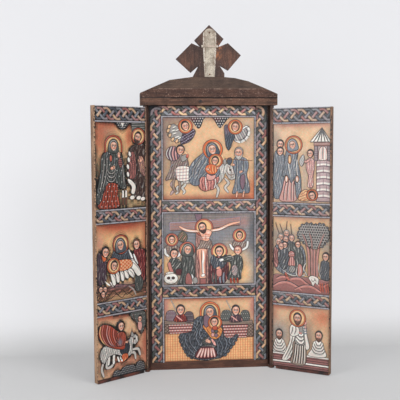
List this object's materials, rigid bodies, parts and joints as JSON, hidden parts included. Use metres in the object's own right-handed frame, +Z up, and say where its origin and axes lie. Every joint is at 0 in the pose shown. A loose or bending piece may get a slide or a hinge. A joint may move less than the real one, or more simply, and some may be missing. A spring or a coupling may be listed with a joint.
{
  "type": "triptych icon",
  "caption": "Carved and painted wooden triptych with a gabled pediment, a patched cross and two folding wings hung on wooden posts.",
  "frame": {"origin": "on the floor, under the middle of the centre panel's width and thickness", "axes": "+Z up, -Y towards the viewer of the painted front, +X to that viewer's right"},
  "size_m": [0.409, 0.0948, 0.6081],
  "materials": {
    "painted_wood": "painted and varnished",
    "dark_wood": "worn dark stain",
    "post_wood": "worn",
    "peg_wood": "worn",
    "tin": "dull, stained",
    "iron": "rusted"
  },
  "bodies": {
    "frame": {"centre_panel": "painted_wood", "bottom_rail": "dark_wood", "pediment": "dark_wood", "fascia_peg": "peg_wood", "cross_finial": "dark_wood", "cross_crown": "dark_wood", "strap_upper": "tin", "strap_lower": "tin", "strap_bead": "tin", "strap_nail_upper": "iron", "strap_nail_lower": "iron"},
    "left_leaf": {"left_wing": "painted_wood", "left_hinge_post": "post_wood"},
    "right_leaf": {"right_wing": "painted_wood", "right_hinge_post": "post_wood"}
  },
  "joints": [
    {"name": "left_wing_hinge", "type": "hinge", "parent": "frame", "child": "left_leaf", "pos_m": [-0.1115, -0.0153, 0], "axis": [0, 0, 1], "range_deg": [-106.7, 143.3]},
    {"name": "right_wing_hinge", "type": "hinge", "parent": "frame", "child": "right_leaf", "pos_m": [0.1115, -0.0153, 0], "axis": [0, 0, -1], "range_deg": [-103.3, 146.7]}
  ]
}
